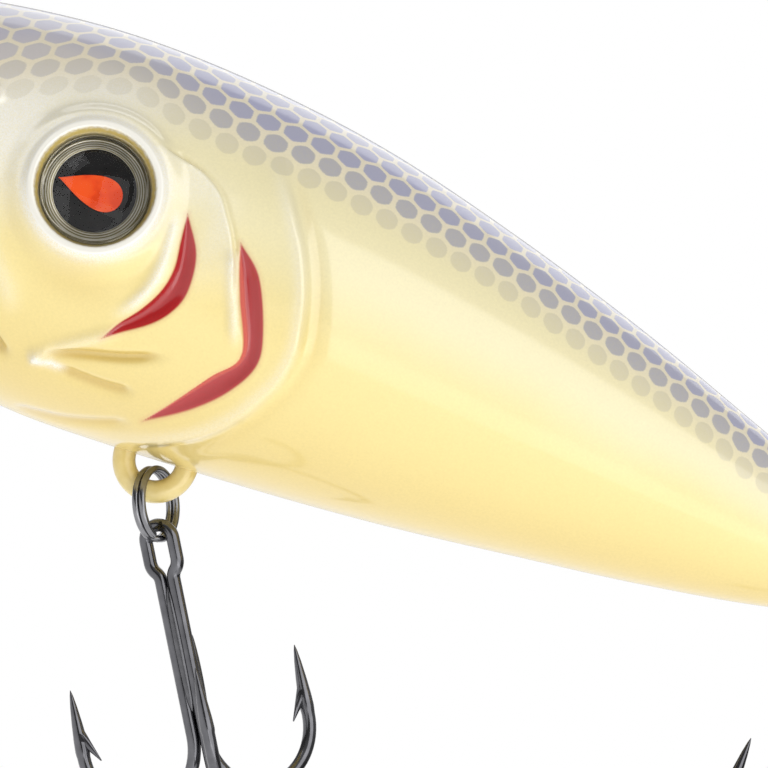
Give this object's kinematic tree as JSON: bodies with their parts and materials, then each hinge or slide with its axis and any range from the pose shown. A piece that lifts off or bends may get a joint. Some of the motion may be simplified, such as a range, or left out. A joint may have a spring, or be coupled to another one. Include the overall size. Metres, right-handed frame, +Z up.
{
  "type": "swimbait",
  "caption": "Hard-bodied fishing swimbait: hollow two-piece fish body with ballast and rattles, wire eyes, split rings and swinging treble hooks.",
  "frame": {"origin": "centre of the line-tie eye at the nose, on the body's centre seam", "axes": "+X from nose to tail, +Y to the fish's right side, +Z up towards the back"},
  "size_m": [0.1211, 0.0366, 0.065],
  "materials": {
    "painted_body": "pearl paint under a gloss clear coat",
    "eye_foil": "silver foil",
    "eye_print": "printed film",
    "eye_lens": "clear moulded dome",
    "eye_wire": "bright stainless wire",
    "painted_wire": "body paint over stainless wire",
    "black_nickel": "black nickel plate",
    "lead": "cast, dull",
    "steel_ball": "polished steel"
  },
  "bodies": {
    "body": {"body_left": "painted_body", "body_right": "painted_body", "belly_hanger": "painted_wire", "line_tie_wire": "eye_wire", "tail_hanger": "eye_wire", "front_ballast": "lead", "rear_ballast": "lead", "eye_foil_left": "eye_foil", "eye_pupil_left": "eye_print", "eye_lens_left": "eye_lens", "eye_foil_right": "eye_foil", "eye_pupil_right": "eye_print", "eye_lens_right": "eye_lens"},
    "nose_ring": {"nose_split_ring": "black_nickel"},
    "belly_ring": {"belly_split_ring": "black_nickel"},
    "belly_treble": {"belly_treble_double": "black_nickel", "belly_treble_single": "black_nickel"},
    "tail_ring": {"tail_split_ring": "black_nickel"},
    "tail_treble": {"tail_treble_double": "black_nickel", "tail_treble_single": "black_nickel"},
    "knocker": {"knocker_ball": "steel_ball"},
    "rear_rattle": {"rear_rattle_ball": "steel_ball"},
    "front_rattle": {"front_rattle_ball": "steel_ball"}
  },
  "joints": [
    {"name": "nose_ring_swing", "type": "hinge", "parent": "body", "child": "nose_ring", "pos_m": [0, 0, 0], "axis": [0, 1, 0], "range_deg": [-20, 170]},
    {"name": "belly_ring_swing", "type": "hinge", "parent": "body", "child": "belly_ring", "pos_m": [0.04027, 0, -0.01581], "axis": [0, 1, 0], "range_deg": [-20, 45]},
    {"name": "belly_treble_swing", "type": "hinge", "parent": "belly_ring", "child": "belly_treble", "pos_m": [0.04179, 0, -0.01942], "axis": [-0.7796, 0.4695, -0.4145], "range_deg": [-45, 60]},
    {"name": "tail_ring_swing", "type": "hinge", "parent": "body", "child": "tail_ring", "pos_m": [0.1074, 0, -0.00083], "axis": [0, 1, 0], "range_deg": [-90, 40]},
    {"name": "tail_treble_swing", "type": "hinge", "parent": "tail_ring", "child": "tail_treble", "pos_m": [0.1093, 0, -0.00394], "axis": [-0.866, 0, -0.5], "range_deg": [-60, 60]},
    {"name": "knocker_slide", "type": "slide", "parent": "body", "child": "knocker", "axis": [1, 0, 0], "range_m": [-0.0037, 0.0037]},
    {"name": "rear_rattle_slide", "type": "slide", "parent": "body", "child": "rear_rattle", "axis": [1, 0, 0], "range_m": [-0.003, 0.006]},
    {"name": "front_rattle_slide", "type": "slide", "parent": "body", "child": "front_rattle", "axis": [1, 0, 0], "range_m": [-0.003, 0.003]}
  ]
}
